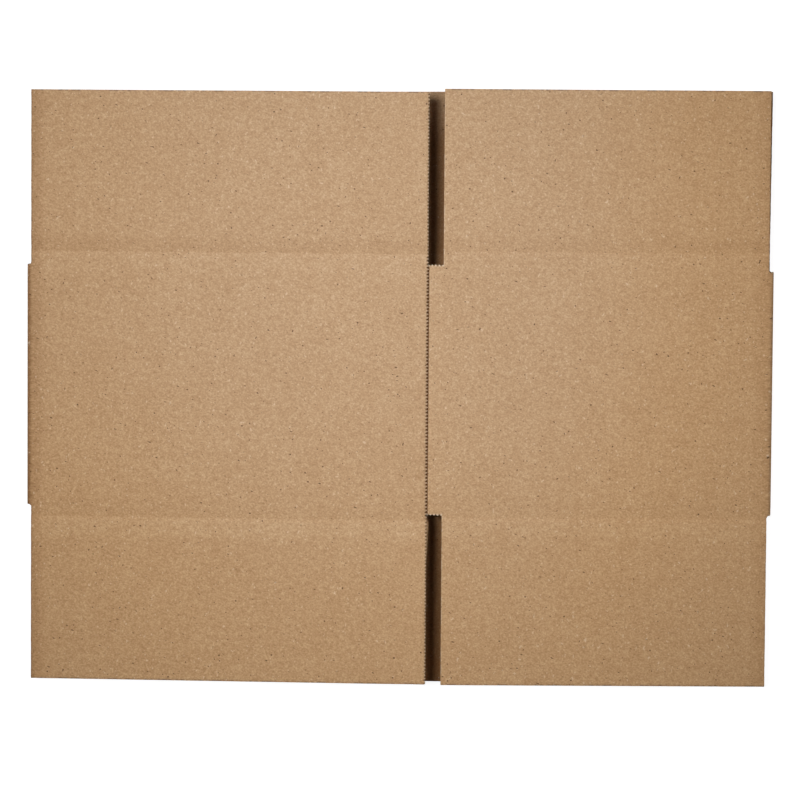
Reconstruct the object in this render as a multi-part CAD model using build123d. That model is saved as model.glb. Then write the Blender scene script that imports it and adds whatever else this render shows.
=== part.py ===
from build123d import *
import math
import os

# A slotted corrugated carton, glued into a tube and lying folded flat on its back.
# Its folds spring a little, so the two front panels rise from them to the glued joint.
# +X runs across the panels, +Y along the flutes towards the top flaps, +Z up from the table.
# The blank runs glue tab, short front panel, right fold, long back panel, short back panel,
# left fold, long front panel. The long front panel is glued down on the tab.

# Board
BOARD = 4.0
LINER = 0.5
FLUTE_PITCH = 8.0
FLUTE_WALL = 0.5
FLUTE_MOUTH = 6.0
LAYER_GAP = 0.6

# Panels, from score to score
LONG_PANEL = 254.0
SHORT_PANEL = 205.0
DEPTH = 163.7

# Flaps, from score to cut edge
TOP_FLAP = 99.1
BOTTOM_FLAP = 101.2
SHORT_TOP_FLAP = 99.5
SHORT_BOTTOM_FLAP = 103.5
FLAP_INSET = 2.7

# Glued joint: the long panel's cut edge stops short of the tab's crease,
# and the short panel sits a little further along +Y than the long one
JOINT_SETBACK = 7.1
JOINT_RISE = 1.6
TAB_WIDTH = 35.0
TAB_TAPER = 6.0
JOINT_LIFT = 8.0
CREASE_LAP = 1.0

# Slots between the flaps, and how far each runs past its score into the body
SLOT_WIDTH = 9.5
TOP_RUN = 9.5
LEFT_BOTTOM_RUN = 6.8
RIGHT_BOTTOM_RUN = 3.8
JOINT_TOP_RUN = 7.8
JOINT_BOTTOM_RUN = 1.3

# Teeth left by the cutting knife
TOOTH_PITCH = 2.117
TOOTH_DEPTH = 1.2

# Scores: shallow rolled grooves on the outer face
SCORE_WIDTH = 7.0
SCORE_DEPTH = 0.6
CREASE_WIDTH = 4.0
CREASE_DEPTH = 0.3

# Levels of the folded layers
front_bottom = BOARD + LAYER_GAP
front_top = front_bottom + BOARD
fold_radius = front_top / 2

# Lines across the carton
left_x = -(LONG_PANEL + SHORT_PANEL) / 2
right_x = (LONG_PANEL + SHORT_PANEL) / 2
flap_left_x = left_x + FLAP_INSET
flap_right_x = right_x - FLAP_INSET
tab_crease_x = left_x + LONG_PANEL
back_crease_x = left_x + SHORT_PANEL
cut_x = tab_crease_x - JOINT_SETBACK
slot_side_x = cut_x + SLOT_WIDTH
tab_end_x = tab_crease_x - TAB_WIDTH

# Lines along the carton, with the finished outline centred on the origin
top_reach = DEPTH / 2 + max(TOP_FLAP, SHORT_TOP_FLAP + JOINT_RISE)
bottom_reach = DEPTH / 2 + max(BOTTOM_FLAP, SHORT_BOTTOM_FLAP - JOINT_RISE)
middle_y = (top_reach - bottom_reach) / 2
top_score = DEPTH / 2 - middle_y
bottom_score = -DEPTH / 2 - middle_y
short_top_score = top_score + JOINT_RISE
short_bottom_score = bottom_score + JOINT_RISE
joint_top_end = short_top_score - JOINT_TOP_RUN
joint_bottom_end = short_bottom_score + JOINT_BOTTOM_RUN

# The long front panel rises from the left fold and lies on top of the tab
ramp_start_x = left_x + fold_radius
ramp_angle = math.degrees(math.atan2(JOINT_LIFT + BOARD, tab_crease_x - ramp_start_x))
ramp = Pos(ramp_start_x, 0, front_bottom) * Rot(0, -ramp_angle, 0)

# The short front panel rises from the right fold to the tab's crease
slope_start_x = right_x - fold_radius
slope_angle = math.degrees(math.atan2(JOINT_LIFT, slope_start_x - tab_crease_x))
slope = Pos(slope_start_x, 0, front_bottom) * Rot(0, slope_angle, 0)


def on_ramp(x):
    """Place in the long front panel's plane below or above x."""
    return (x - ramp_start_x) / math.cos(math.radians(ramp_angle))


def on_slope(x):
    """Place in the short front panel's plane below or above x."""
    return (x - slope_start_x) / math.cos(math.radians(slope_angle))


ramp_flap_left = on_ramp(flap_left_x)
ramp_cut = on_ramp(cut_x)
slope_slot = on_slope(slot_side_x)
slope_flap_right = on_slope(flap_right_x)


def sheet(points, bottom=0.0):
    """A piece of board with the given outline, lying with its lower face at the given height."""
    outline = Polyline([(x, y, bottom) for x, y in points], close=True)
    return extrude(make_face(outline), amount=BOARD, dir=(0, 0, 1))


def rectangle_sheet(x0, x1, y0, y1, bottom=0.0):
    """A rectangular piece of board."""
    return sheet([(x0, y0), (x1, y0), (x1, y1), (x0, y1)], bottom)


def tooth(place):
    """Depth of the zigzag at a place along a cut: 0 at a tooth's tip and 1 at its root."""
    return abs(2 * (place / TOOTH_PITCH % 1) - 1)


def zigzag_places(start, end):
    """Places along a cut where the zigzag turns, with both ends of the cut."""
    half = TOOTH_PITCH / 2
    turns = range(math.ceil(start / half + 0.1), math.floor(end / half - 0.1) + 1)
    return [start] + [turn * half for turn in turns] + [end]


def cut_side(x, y0, y1):
    """Points up a toothed side whose tips reach x."""
    return [(x - TOOTH_DEPTH * tooth(y), y) for y in zigzag_places(y0, y1)]


def slot_end(x0, x1, y, away):
    """Points along the toothed end of a slot, whose tips stand towards the slot."""
    return [(x, y + away * TOOTH_DEPTH * tooth(x)) for x in zigzag_places(x0, x1)]


def slot_cut(x, score, run, edge, away):
    """Board taken out of the back layer by a slot centred on a crease."""
    end = score - away * run
    teeth = slot_end(x - SLOT_WIDTH / 2, x + SLOT_WIDTH / 2, end, -away)
    past = edge + away * BOARD
    points = teeth + [(x + SLOT_WIDTH / 2, past), (x - SLOT_WIDTH / 2, past)]
    return extrude(make_face(Polyline([(px, py, 0) for px, py in points], close=True)),
                   amount=BOARD, dir=(0, 0, 1))


def groove(length, width, depth):
    """Tool for a rolled groove along +X from the origin, sunk from z = 0 by a shallow arc."""
    radius = (width * width / 4 + depth * depth) / (2 * depth)
    roller = Cylinder(radius, length, align=(Align.CENTER, Align.CENTER, Align.MIN))
    return Pos(0, 0, radius - depth) * (Rot(0, 90, 0) * roller)


def wave(x):
    """Height of the fluted middle ply between the liners."""
    swing = (BOARD - 2 * LINER - FLUTE_WALL) / 2
    return BOARD / 2 + swing * math.cos(2 * math.pi * x / FLUTE_PITCH)


def mouth(centre, side, edge_y, inward, bottom):
    """One open flute at a cut edge, above the middle ply for side 1 and below it for side -1."""
    liner_z = BOARD - LINER if side > 0 else LINER
    half = FLUTE_PITCH / 2 - FLUTE_WALL
    valley = [(centre + share * half, wave(centre + share * half) + side * FLUTE_WALL / 2)
              for share in (-0.5, 0.0, 0.5)]
    points = [(centre - half, liner_z)] + valley + [(centre + half, liner_z)]
    face = make_face(Polyline([(x, edge_y, bottom + z) for x, z in points], close=True))
    return extrude(face, amount=FLUTE_MOUTH, dir=(0, inward, 0))


def flute_mouths(x0, x1, edge_y, inward, bottom=0.0):
    """The row of open flutes along a cut edge from x0 to x1."""
    half = FLUTE_PITCH / 2
    first = math.ceil((x0 + half) / half)
    last = math.floor((x1 - half) / half)
    return [mouth(step * half, 1 if step % 2 else -1, edge_y, inward, bottom)
            for step in range(first, last + 1)]


def back_layer():
    """Both back panels with their four flaps, one sheet on the table."""
    board = rectangle_sheet(flap_left_x, flap_right_x, bottom_score - BOTTOM_FLAP, top_score + TOP_FLAP)
    board -= slot_cut(back_crease_x, top_score, TOP_RUN, top_score + TOP_FLAP, 1)
    board -= slot_cut(back_crease_x, bottom_score, RIGHT_BOTTOM_RUN, bottom_score - BOTTOM_FLAP, -1)
    slot_left = back_crease_x - SLOT_WIDTH / 2
    slot_right = back_crease_x + SLOT_WIDTH / 2
    for edge_y, inward in ((top_score + TOP_FLAP, -1), (bottom_score - BOTTOM_FLAP, 1)):
        board -= flute_mouths(flap_left_x, slot_left, edge_y, inward)
        board -= flute_mouths(slot_right, flap_right_x, edge_y, inward)
    for score in (top_score, bottom_score):
        board -= Pos(left_x, score, 0) * Rot(180, 0, 0) * groove(right_x - left_x, SCORE_WIDTH, SCORE_DEPTH)
    crease_start = bottom_score + RIGHT_BOTTOM_RUN
    crease_length = top_score - TOP_RUN - crease_start
    board -= (Pos(back_crease_x, crease_start, 0) * Rot(0, 0, 90) * Rot(180, 0, 0)
              * groove(crease_length, CREASE_WIDTH, CREASE_DEPTH))
    return board


def slope_scores():
    """Grooves of the short front panel's two scores, in that panel's own plane."""
    start = slope_slot - FLAP_INSET
    tool = groove(slope_flap_right + FLAP_INSET - start, SCORE_WIDTH, SCORE_DEPTH)
    return [Pos(start, score, BOARD) * tool for score in (short_top_score, short_bottom_score)]


def short_panel():
    """The short front panel from its fold to just past the tab's crease, in its own plane."""
    start = tab_crease_x - CREASE_LAP
    bottom_teeth = slot_end(start, slot_side_x, joint_bottom_end, 1)
    top_teeth = slot_end(start, slot_side_x, joint_top_end, -1)[::-1]
    body = [(slot_side_x, short_bottom_score), (flap_right_x, short_bottom_score),
            (flap_right_x, short_top_score), (slot_side_x, short_top_score)]
    points = [(on_slope(x), y) for x, y in bottom_teeth + body + top_teeth]
    return sheet(points) - slope_scores()


def tab():
    """The glue tab, face to face under the long front panel and in that panel's plane."""
    end = tab_crease_x + CREASE_LAP
    bottom_teeth = slot_end(tab_end_x, end, joint_bottom_end, 1)
    top_teeth = slot_end(tab_end_x, end, joint_top_end, -1)[::-1]
    bottom_teeth[0] = (tab_end_x, joint_bottom_end + TAB_TAPER)
    top_teeth[-1] = (tab_end_x, joint_top_end - TAB_TAPER)
    return sheet([(on_ramp(x), y) for x, y in bottom_teeth + top_teeth], -BOARD)


def tab_crease():
    """Groove of the crease between the tab and the short front panel."""
    start = joint_bottom_end - TOOTH_DEPTH
    length = joint_top_end + TOOTH_DEPTH - start
    return (Pos(tab_crease_x, start, front_top + JOINT_LIFT) * Rot(0, 0, 90)
            * groove(length, CREASE_WIDTH, CREASE_DEPTH))


def ramp_sheet(y0, y1):
    """Board in the plane of the long front panel, with its toothed cut edge."""
    points = [(ramp_flap_left, y0)] + cut_side(ramp_cut, y0, y1) + [(ramp_flap_left, y1)]
    return sheet(points)


def ramp_scores():
    """Grooves of the long front panel's two scores, in that panel's own plane."""
    start = ramp_flap_left - FLAP_INSET
    length = ramp_cut - start + TOOTH_DEPTH
    tool = groove(length, SCORE_WIDTH, SCORE_DEPTH)
    return [Pos(start, score, BOARD) * tool for score in (top_score, bottom_score)]


def fold_nose(x, y0, y1):
    """Rounded outer side of a body fold, from one layer round to the other."""
    rod = Cylinder(fold_radius, y1 - y0, align=(Align.CENTER, Align.CENTER, Align.MIN))
    return Pos(x, y1, fold_radius) * Rot(90, 0, 0) * rod


def carton_body():
    """Panels, folds, glued joint and back flaps, which are one folded piece of board."""
    long_panel = ramp * (ramp_sheet(bottom_score, top_score) - ramp_scores() + tab())
    left_fold = fold_nose(left_x + fold_radius, bottom_score + LEFT_BOTTOM_RUN, top_score - TOP_RUN)
    right_fold = fold_nose(right_x - fold_radius, bottom_score + RIGHT_BOTTOM_RUN, top_score - TOP_RUN)
    front = slope * short_panel() + long_panel - tab_crease()
    return back_layer() + left_fold + right_fold + front


def long_flap(score, edge):
    """A front flap of the long panel, in that panel's plane."""
    board = ramp_sheet(min(score, edge), max(score, edge))
    board -= ramp_scores()
    inward = 1 if edge < score else -1
    board -= flute_mouths(ramp_flap_left, ramp_cut - TOOTH_DEPTH, edge, inward)
    return ramp * board


def short_flap(score, edge):
    """A front flap of the short panel, in that panel's plane."""
    board = rectangle_sheet(slope_slot, slope_flap_right, min(score, edge), max(score, edge))
    board -= slope_scores()
    inward = 1 if edge < score else -1
    board -= flute_mouths(slope_slot, slope_flap_right, edge, inward)
    return slope * board


nodes = {
    "carton_body": carton_body(),
    "long_flap_top": long_flap(top_score, top_score + TOP_FLAP),
    "long_flap_bottom": long_flap(bottom_score, bottom_score - BOTTOM_FLAP),
    "short_flap_top": short_flap(short_top_score, short_top_score + SHORT_TOP_FLAP),
    "short_flap_bottom": short_flap(short_bottom_score, short_bottom_score - SHORT_BOTTOM_FLAP),
}

os.makedirs("parts", exist_ok=True)
for name, solid in nodes.items():
    export_step(solid, f"parts/{name}.step")
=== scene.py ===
import logging
import math
from dataclasses import dataclass, field
from enum import Enum
from functools import reduce
from operator import add

import bpy
import numpy as np
from mathutils import Matrix, Vector


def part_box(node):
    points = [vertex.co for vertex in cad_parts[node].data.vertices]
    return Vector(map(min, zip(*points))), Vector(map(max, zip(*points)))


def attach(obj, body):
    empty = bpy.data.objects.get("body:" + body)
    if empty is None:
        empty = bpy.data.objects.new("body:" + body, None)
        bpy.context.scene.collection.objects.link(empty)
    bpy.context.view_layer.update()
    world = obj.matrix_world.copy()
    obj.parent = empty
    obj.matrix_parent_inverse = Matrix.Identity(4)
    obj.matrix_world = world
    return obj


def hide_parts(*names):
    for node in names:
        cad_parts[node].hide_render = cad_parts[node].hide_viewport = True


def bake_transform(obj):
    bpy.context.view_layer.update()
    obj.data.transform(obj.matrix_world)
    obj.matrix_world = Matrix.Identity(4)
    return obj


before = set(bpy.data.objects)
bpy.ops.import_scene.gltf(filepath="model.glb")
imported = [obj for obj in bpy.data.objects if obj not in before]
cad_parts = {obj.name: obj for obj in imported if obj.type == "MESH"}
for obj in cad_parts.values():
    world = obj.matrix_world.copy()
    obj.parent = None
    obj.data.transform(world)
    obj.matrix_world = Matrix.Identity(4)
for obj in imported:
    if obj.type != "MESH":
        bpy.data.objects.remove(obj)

# A slotted corrugated carton, glued into a tube and lying folded flat on its back.
# The board is worked out on its flat blank: u runs across the flutes from the glue tab to the cut
# edge, v runs along the flutes, and h is the height in the board, from its inner to its outer face.
# A fold map then lays each point of the blank where the folded carton has it.

LOG = logging.getLogger("carton")
CARTON_BODY = "carton"
MM = 0.001
FLUTE_PITCH = 8.0 * MM
FLUTE_STEP = FLUTE_PITCH / 6
TOOTH_PITCH = 2.117 * MM
TOOTH_STEP = TOOTH_PITCH / 6
TINY = 1e-9
WHITE = (1.0, 1.0, 1.0, 1.0)
Levels = tuple[float, float, float]

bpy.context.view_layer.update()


def smooth(share: np.ndarray) -> np.ndarray:
    """Rise gently from 0 to 1.

    Args:
        share: How far along the rise each point is; outside 0 to 1 it is clipped.

    Returns:
        Three times the square less twice the cube of the clipped share.
    """
    clipped = np.clip(share, 0.0, 1.0)
    return clipped * clipped * (3 - 2 * clipped)


def spaced(low: float, high: float, step: float) -> np.ndarray:
    """Even places from low to high, both included, at most about one step apart."""
    return np.linspace(low, high, max(2, int(round((high - low) / step)) + 1))


@dataclass(frozen=True)
class Board:
    """Single-wall corrugated board: two liners with a fluted ply between them."""

    thickness: float = 4.0 * MM
    liner: float = 0.42 * MM
    ply: float = 0.34 * MM
    flute_pitch: float = FLUTE_PITCH
    glue_gap: float = 0.03 * MM
    washboard: float = 0.11 * MM

    def ply_height(self, crest: np.ndarray, pressed: np.ndarray) -> np.ndarray:
        """Find the middle of the fluted ply.

        Args:
            crest: 1 where the ply touches the outer liner and -1 where it touches the inner one.
            pressed: How much thinner the board is there.

        Returns:
            Half the board's thickness there plus the crest times the ply's swing.
        """
        left = self.thickness - pressed
        swing = (left - self.ply) / 2 - self.liner - self.glue_gap
        return left / 2 + swing * crest


@dataclass(frozen=True)
class Knife:
    """The toothed knife that cut the blank."""

    pitch: float = TOOTH_PITCH

    def root(self, place: np.ndarray) -> np.ndarray:
        """Depth of the zigzag: 1 at a root, on each whole pitch, and 0 at a tip, midway between."""
        return np.abs(2 * (place / self.pitch % 1) - 1)


@dataclass(frozen=True)
class Score:
    """A rolled score: on the front layers, a long flank above its line and a short one below."""

    depth: float = 0.5 * MM
    above: float = 8.0 * MM
    below: float = 2.4 * MM
    back_half_width: float = 3.5 * MM
    crease_depth: float = 0.3 * MM
    crease_half_width: float = 2.0 * MM

    def front(self, distance: np.ndarray) -> np.ndarray:
        """Find the depth of a front layer's score.

        Args:
            distance: Signed distances from its line along v.

        Returns:
            The full depth at the line, falling gently to 0 over the long flank above it and the
            short one below it.
        """
        above = 1 - smooth(distance / self.above)
        below = 1 - smooth(-distance / self.below)
        return self.depth * np.where(distance > 0, above, below)

    def back(self, distance: np.ndarray) -> np.ndarray:
        """Depth of the back layer's score, alike on both flanks."""
        return self.depth * (1 - smooth(np.abs(distance) / self.back_half_width))

    def crease(self, distance: np.ndarray) -> np.ndarray:
        """Depth of a crease along the flutes, alike on both flanks."""
        return self.crease_depth * (1 - smooth(np.abs(distance) / self.crease_half_width))


@dataclass
class Blank:
    """The flat blank and the map that folds it; lengths are the frame's or the board's own.

    layer_gap: gap between the front and the back layer at the folds
    tab_width, joint_setback: width of the tab that is glued, and how much of it the long panel
    leaves bare
    joint_lift: how much higher than at the folds the short panel lies at the joint
    flap_inset: how far inside the folds the sides of the flaps lie
    back_flap_stands_out, front_flap_stands_in: how much wider and narrower than the others the
        two upper right flaps are
    back_flap_rise, back_flap_flare: how far the corner of the back one is moved up and out
    top_run and the other runs: how far past its score, into the panel, a slot or a notch is cut
    clearance: room kept between the folds and the CAD box
    hinge_start, hinge_end: how far before and past its score a flap's bend begins and ends
    fold_squareness, fold_ease: power of the folds' round, and how far past its end a fold eases out
    joint_press, press_left: how much thinner the board is at its glued edge, and the share of that
        which is left in the flaps
    press_reach, press_fade: how far that reaches in from the edge, and past the scores
    short_line_count, long_line_count: steps and lines of the lattice over the front panels
    """

    board: Board = field(default_factory=Board)
    score: Score = field(default_factory=Score)
    layer_gap: float = 0.6 * MM
    slot_width: float = 9.5 * MM
    tab_width: float = 35.0 * MM
    joint_setback: float = 7.1 * MM
    joint_lift: float = 8.0 * MM
    flap_inset: float = 2.7 * MM
    back_flap_stands_out: float = 0.3 * MM
    front_flap_stands_in: float = 0.35 * MM
    back_flap_rise: float = 1.6 * MM
    back_flap_flare: float = 0.6 * MM
    top_run: float = 9.5 * MM
    left_top_run: float = 8.15 * MM
    left_bottom_run: float = 6.8 * MM
    right_bottom_run: float = 3.8 * MM
    joint_top_run: float = 7.8 * MM
    joint_bottom_run: float = 1.3 * MM
    clearance: float = 0.01 * MM
    hinge_start: float = 1.0 * MM
    hinge_end: float = 4.0 * MM
    fold_squareness: float = 3.2
    fold_ease: float = 0.6 * MM
    joint_press: float = 2.2 * MM
    press_reach: float = 40.0 * MM
    press_fade: float = 30.0 * MM
    press_left: float = 0.25
    short_line_count: int = 150
    long_line_count: int = 182

    def __post_init__(self) -> None:
        """Read the carton's lines from the frame and work out where each layer lies along u."""
        thick = self.board.thickness
        self.front_level = thick + self.layer_gap
        self.inner_radius = self.layer_gap / 2
        self.fold_level = thick + self.inner_radius
        half_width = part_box("carton_body")[1].x
        self.fold_x = half_width - self.fold_level - self.clearance
        short_low, short_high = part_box("short_flap_top")
        self.flap_side_x = half_width - self.flap_inset
        self.slot_side_x = short_low.x
        self.cut_x = self.slot_side_x - self.slot_width
        self.crease_x = self.cut_x + self.joint_setback
        self.top_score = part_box("long_flap_top")[0].y
        self.bottom_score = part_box("long_flap_bottom")[1].y
        self.short_top_score = short_low.y
        self.short_bottom_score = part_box("short_flap_bottom")[1].y
        self.top_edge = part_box("long_flap_top")[1].y
        self.bottom_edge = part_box("long_flap_bottom")[0].y
        self.short_top_edge = short_high.y
        self.short_bottom_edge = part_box("short_flap_bottom")[0].y
        self.long_slope = math.atan2(thick + self.joint_lift, self.crease_x + self.fold_x)
        self.short_slope = math.atan2(self.joint_lift, self.fold_x - self.crease_x)
        self._place_layers()
        self._place_cuts()

    def _place_layers(self) -> None:
        """Add up the layers along u: tab and short panel, fold, back panels, fold, long panel."""
        fold_length = math.pi * (self.inner_radius + self.board.thickness / 2)
        short_lean, long_lean = math.cos(self.short_slope), math.cos(self.long_slope)
        self.tab_crease_u = self.tab_width / long_lean
        self.right_fold = self.tab_crease_u + (self.fold_x - self.crease_x) / short_lean
        self.slot_u = self.right_fold - (self.fold_x - self.slot_side_x) / short_lean
        self.back_start = self.right_fold + fold_length
        self.left_fold = self.back_start + 2 * self.fold_x
        self.long_start = self.left_fold + fold_length
        self.cut_u = self.long_start + (self.cut_x + self.fold_x) / long_lean
        self.seam_u = self.tab_crease_u - self.joint_setback / long_lean
        self.middle_right = (self.right_fold + self.back_start) / 2
        self.middle_left = (self.left_fold + self.long_start) / 2

    def _place_cuts(self) -> None:
        """Find the sides of slots and flaps along u, and the ends of slots and folds along v."""
        past_fold = self.flap_side_x - self.fold_x
        self.short_side_u = self.right_fold + past_fold
        self.back_right_u = self.back_start - past_fold
        self.back_top_right_u = self.back_right_u - self.back_flap_stands_out
        self.short_top_side_u = self.short_side_u - self.front_flap_stands_in
        self.back_crease_u = self.back_start + self.fold_x + self.crease_x
        half_slot = self.slot_width / 2
        self.back_slot_u = (self.back_crease_u - half_slot, self.back_crease_u + half_slot)
        self.back_left_u = self.left_fold + past_fold
        self.shown_u = self.back_start + self.fold_x - (self.cut_x + self.slot_side_x) / 2
        self.long_side_u = self.long_start - past_fold
        self.top_end = self.top_score - self.top_run
        self.left_top_end = self.top_score - self.left_top_run
        self.left_bottom_end = self.bottom_score + self.left_bottom_run
        self.right_bottom_end = self.bottom_score + self.right_bottom_run
        self.joint_top_end = self.short_top_score - self.joint_top_run
        self.joint_bottom_end = self.short_bottom_score + self.joint_bottom_run

    def crest(self, u: np.ndarray) -> np.ndarray:
        """Say which liner the fluted ply touches.

        Args:
            u: Places along the blank.

        Returns:
            A cosine of one turn for each flute, in step with the flutes of each layer.
        """
        across = np.select(
            [u < self.middle_right, u < self.middle_left],
            [u - self.right_fold, self.fold_x + self.back_start - u],
            u - self.long_start,
        )
        wave = np.cos(2 * np.pi * across / self.board.flute_pitch)
        return np.where((u > self.middle_right) & (u < self.middle_left), -wave, wave)

    def short_lines(self) -> np.ndarray:
        """Lattice lines over the short panel, the last one at its fold."""
        return self.right_fold - np.arange(self.short_line_count, -1, -1) * FLUTE_STEP

    def long_lines(self) -> np.ndarray:
        """Lattice lines over the long panel, the first one at its fold."""
        return self.long_start + np.arange(self.long_line_count) * FLUTE_STEP

    def _flatness(self, u: np.ndarray) -> np.ndarray:
        """Say where the board is flat.

        Args:
            u: Places across the flutes.

        Returns:
            0 within the folds, where the flutes are crushed, rising gently to 1 over one flute.
        """
        half_fold = (self.back_start - self.right_fold) / 2
        away = np.minimum(np.abs(u - self.middle_right), np.abs(u - self.middle_left)) - half_fold
        return smooth(away / self.board.flute_pitch)

    def pressed(self, u: np.ndarray, v: np.ndarray) -> np.ndarray:
        """Find how much thinner the long front panel is towards its glued edge.

        Args:
            u: Places across the flutes.
            v: Places along the flutes.

        Returns:
            A gentle rise of the loss towards the cut edge, fading to a part of it in the flaps.
        """
        near = smooth((u - self.cut_u) / self.press_reach + 1) * (u > self.middle_left)
        past = smooth(np.maximum(v - self.top_score, self.bottom_score - v) / self.press_fade)
        return self.joint_press * near * (1 - (1 - self.press_left) * past)

    def outer_relief(self, u: np.ndarray, v: np.ndarray) -> np.ndarray:
        """Lower the outer face by its ridges, scores, creases and the press of the joint.

        Args:
            u: Places across the flutes.
            v: Places along the flutes.

        Returns:
            The change of height, never above 0.
        """
        ridges = self.board.washboard * (1 - self.crest(u)) / 2 * self._flatness(u)
        short = u < self.middle_right
        back = (u >= self.middle_right) & (u <= self.middle_left)
        top = np.where(short, self.short_top_score, self.top_score)
        bottom = np.where(short, self.short_bottom_score, self.bottom_score)
        front_score = np.maximum(self.score.front(v - top), self.score.front(v - bottom))
        back_score = np.maximum(self.score.back(v - top), self.score.back(v - bottom))
        tab_crease = self.score.crease(u - self.tab_crease_u)
        creases = tab_crease + self.score.crease(u - self.back_crease_u)
        scored = np.maximum(np.where(back, back_score, front_score), creases)
        return -scored - ridges - self.pressed(u, v)

    def inner_relief(self, u: np.ndarray) -> np.ndarray:
        """Raise the inner face by its ridges, out of step with those of the outer face."""
        return self.board.washboard * (1 + self.crest(u)) / 2 * self._flatness(u)

    def _curve(self, angle: np.ndarray, radius: np.ndarray) -> tuple[np.ndarray, np.ndarray]:
        """Follow a fold's squared round.

        Args:
            angle: Angle from the upright.
            radius: Distance from the fold's axis on the upright.

        Returns:
            How far out and how far up from the axis: a superellipse in polar form.
        """
        power = self.fold_squareness
        out, up = np.sin(angle), np.cos(angle)
        reach = radius * (np.abs(out) ** power + np.abs(up) ** power) ** (-1 / power)
        return reach * out, reach * up

    def folded(self, blank_points: np.ndarray) -> np.ndarray:
        """Fold the blank.

        Args:
            blank_points: Rows of u, v and h.

        Returns:
            Rows of x, y and z: straight layers joined by half turns, each half turn easing into the
            flat flaps just past the slots' ends.
        """
        u, v, h = blank_points.T
        radius = self.inner_radius + h
        short_x, short_z = self._short_side(u, radius)
        back_x, back_z = self.fold_x + self.back_start - u, self.board.thickness - h
        along, tilt = u - self.long_start, self.long_slope
        long_x = -self.fold_x + along * math.cos(tilt) - radius * math.sin(tilt)
        long_z = self.fold_level + along * math.sin(tilt) + radius * math.cos(tilt)
        layers = [u < self.middle_right, u < self.middle_left]
        x = np.select(layers, [short_x, back_x], long_x)
        z = np.select(layers, [short_z, back_z], long_z)
        folds = (
            (1, self.right_fold, self.back_start, self.short_slope,
             self.top_end, self.right_bottom_end),
            (-1, self.long_start, self.left_fold, self.long_slope,
             self.left_top_end, self.left_bottom_end),
        )
        for side, start, end, slope, top_end, bottom_end in folds:
            turned = np.clip((u - start) / (end - start), 0, 1)
            out, up = self._curve(slope + (math.pi - slope) * turned, radius)
            within = (u > min(start, end)) & (u < max(start, end))
            ease = self._ease(v, top_end, bottom_end)
            x = np.where(within, x + ease * (side * (self.fold_x + out) - x), x)
            z = np.where(within, z + ease * (self.fold_level + up - z), z)
        askew = self._askew(u, v)
        x, y = x + self.back_flap_flare * askew, v + self.back_flap_rise * askew
        return np.column_stack([x, y, z])

    def _askew(self, u: np.ndarray, v: np.ndarray) -> np.ndarray:
        """Say how far the short panel's upper back flap lies out of square.

        Args:
            u: Places across the flutes.
            v: Places along the flutes.

        Returns:
            The product of the shares of the way from the slot to the flap's side and from its score
            to its edge, 0 on the rest of the blank.
        """
        slot = self.back_slot_u[0]
        across = np.clip((slot - u) / (slot - self.back_top_right_u), 0, 1)
        up = np.clip((v - self.top_score) / (self.top_edge - self.top_score), 0, 1)
        return across * (u > self.middle_right) * up

    def _short_side(self, u: np.ndarray, radius: np.ndarray) -> tuple[np.ndarray, np.ndarray]:
        """Lay the tab under the long panel and the short panel to its fold, bent at the crease.

        Args:
            u: Places across the flutes.
            radius: Heights above the fold's axis on the upright.

        Returns:
            Their x and z; the bend at the crease is a gentle passage from one plane to the other.
        """
        tilt = self.short_slope
        along = u - self.right_fold
        panel_x = self.fold_x + along * math.cos(tilt) + radius * math.sin(tilt)
        panel_z = self.fold_level - along * math.sin(tilt) + radius * math.cos(tilt)
        tilt = self.long_slope
        above = radius - self.board.thickness
        along = (self.crease_x + self.fold_x) / math.cos(tilt) + u - self.tab_crease_u
        tab_x = -self.fold_x + along * math.cos(tilt) - above * math.sin(tilt)
        tab_z = self.fold_level + along * math.sin(tilt) + above * math.cos(tilt)
        share = smooth((u - self.tab_crease_u) / self.score.crease_half_width / 2 + 0.5)
        return tab_x + share * (panel_x - tab_x), tab_z + share * (panel_z - tab_z)

    def _ease(self, v: np.ndarray, top_end: float, bottom_end: float) -> np.ndarray:
        """1 between a fold's two ends, falling to 0 past each."""
        past = np.maximum(v - top_end, bottom_end - v)
        return 1 - smooth(past / self.fold_ease)


@dataclass(frozen=True)
class CutLook:
    """How the board looks along one kind of cut.

    spacing: distance between points along the cut
    recess: how deep the open flutes can be seen into
    ply_back: how far the fluted ply stands back from the liners
    teeth: depth of the knife's teeth in the liners
    reach: how far the teeth stand out past the cut's line
    crush: how far the liners are pressed in at the cut
    tip_drop: how much further the tips of the teeth are bent down
    shoulder: how far from the cut the outer liner begins to turn down
    wobble: unevenness of the liners' line
    pale: how far the torn paper shows pale at the cut, from 0 to 1; below 0, how much painted shade
    darkens the edge
    root_painted_shade: how much painted shade darkens the roots of the teeth, from 0 to 1
    """

    spacing: float
    recess: float = 0.0
    ply_back: float = 0.0
    teeth: float = 0.0
    reach: float = 0.0
    crush: float = 0.0
    tip_drop: float = 0.0
    shoulder: float = 0.7 * MM
    wobble: float = 0.0
    pale: float = 0.0
    root_painted_shade: float = 0.0


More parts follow.
